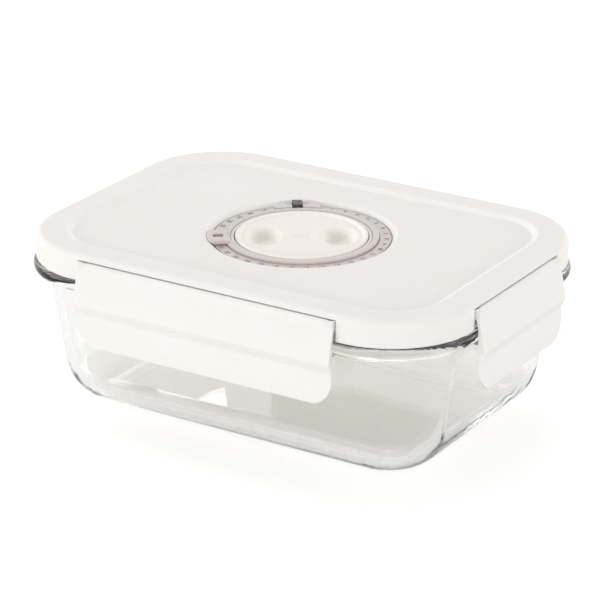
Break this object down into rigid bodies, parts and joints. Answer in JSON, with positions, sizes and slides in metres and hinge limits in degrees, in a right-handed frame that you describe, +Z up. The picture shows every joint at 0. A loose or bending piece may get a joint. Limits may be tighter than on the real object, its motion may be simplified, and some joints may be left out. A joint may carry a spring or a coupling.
{
  "type": "vacuum seal canister",
  "caption": "Rectangular glass food canister with a moulded clip-on lid, flap latches on its sides and a built-in pull pump with date dial and vacuum release.",
  "frame": {"origin": "middle of the glass base, on the surface it stands on", "axes": "+Z up, +X along the length, -Y towards the long latch seen in the picture"},
  "size_m": [0.2092, 0.1542, 0.0741],
  "materials": {
    "glass": "clear pressed borosilicate glass",
    "lid_plastic": "cream-white moulded polypropylene",
    "knob_plastic": "white moulded ABS, satin",
    "barrel_plastic": "off-white moulded ABS",
    "dial_plastic": "smoky translucent SAN",
    "silicone": "translucent white silicone rubber",
    "lever_plastic": "dark grey moulded POM",
    "steel": "stainless steel"
  },
  "bodies": {
    "dish": {"glass_dish": "glass"},
    "lid": {"lid_shell": "lid_plastic", "lid_gasket": "silicone", "pump_barrel": "barrel_plastic", "barrel_gasket": "silicone", "barrel_nut": "barrel_plastic", "gland_ring": "barrel_plastic", "intake_valve": "silicone", "splash_guard": "barrel_plastic", "scale_ring": "dial_plastic", "release_housing": "dial_plastic", "release_pin": "steel"},
    "pump": {"pump_knob": "knob_plastic", "piston": "barrel_plastic", "piston_seal": "silicone", "exhaust_flap": "silicone", "knob_screw": "steel"},
    "pointer": {"pointer_ring": "dial_plastic"},
    "release": {"release_lever": "lever_plastic", "release_plug": "silicone"},
    "latch_front": {"latch_front": "lid_plastic"},
    "latch_back": {"latch_back": "lid_plastic"},
    "latch_right": {"latch_right": "lid_plastic"},
    "latch_left": {"latch_left": "lid_plastic"}
  },
  "joints": [
    {"name": "lid_lift", "type": "slide", "parent": "dish", "child": "lid", "axis": [0, 0, 1], "range_m": [0, 0.066]},
    {"name": "latch_front_swing", "type": "hinge", "parent": "lid", "child": "latch_front", "pos_m": [0, -0.0726, 0.0697], "axis": [-1, 0, 0], "range_deg": [0, 125]},
    {"name": "latch_back_swing", "type": "hinge", "parent": "lid", "child": "latch_back", "pos_m": [0, 0.0726, 0.0697], "axis": [1, 0, 0], "range_deg": [0, 125]},
    {"name": "latch_right_swing", "type": "hinge", "parent": "lid", "child": "latch_right", "pos_m": [0.1001, 0, 0.0697], "axis": [0, -1, 0], "range_deg": [0, 125]},
    {"name": "latch_left_swing", "type": "hinge", "parent": "lid", "child": "latch_left", "pos_m": [-0.1001, 0, 0.0697], "axis": [0, 1, 0], "range_deg": [0, 125]},
    {"name": "pump_pull", "type": "slide", "parent": "lid", "child": "pump", "axis": [0, 0, 1], "range_m": [0, 0.012]},
    {"name": "pointer_turn", "type": "hinge", "parent": "lid", "child": "pointer", "pos_m": [0, 0, 0.0709], "axis": [0, 0, 1], "range_deg": [-62, 236]},
    {"name": "release_flip", "type": "hinge", "parent": "lid", "child": "release", "pos_m": [-0.02139, 0.03055, 0.0719], "axis": [-0.8192, -0.5736, 0], "range_deg": [0, 60]}
  ]
}
